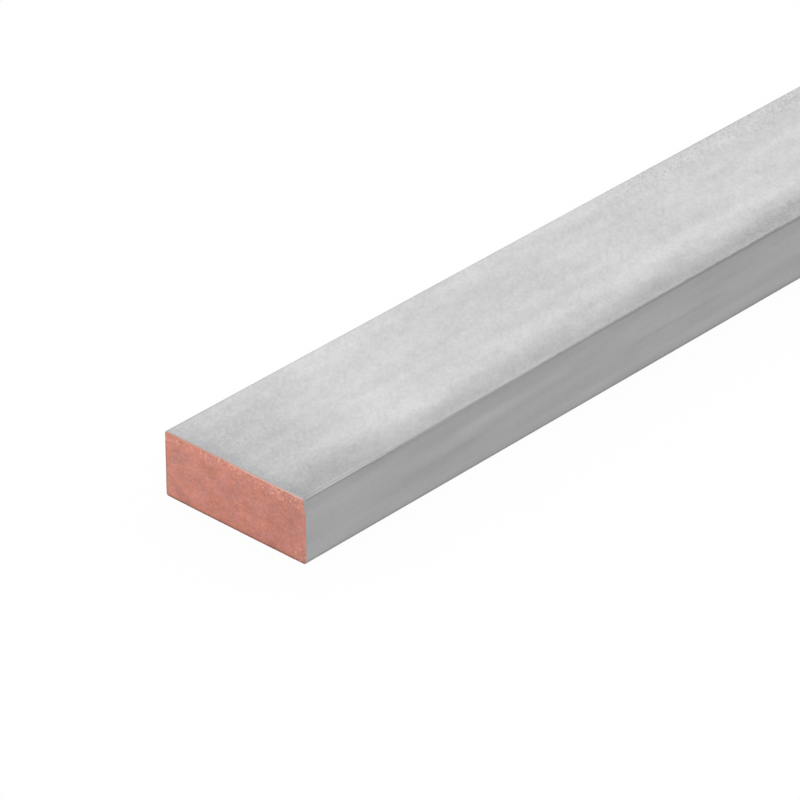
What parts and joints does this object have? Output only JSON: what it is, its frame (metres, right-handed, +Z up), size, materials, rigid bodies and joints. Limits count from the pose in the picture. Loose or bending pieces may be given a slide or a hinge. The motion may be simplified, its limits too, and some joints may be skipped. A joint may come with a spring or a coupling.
{
  "type": "copper busbar",
  "caption": "Flat bar of solid copper with a tin coat, lightly rounded long edges and bare copper ends cut square, for carrying and sharing current in a panel.",
  "frame": {"origin": "middle of the broad face that the bar lies on", "axes": "+X along the bar, +Y across its width, +Z up through its thickness"},
  "size_m": [1, 0.025, 0.01],
  "materials": {
    "tin_coat": "satin",
    "bare_copper": "satin"
  },
  "bodies": {
    "root": {"busbar": "tin_coat"}
  },
  "joints": []
}
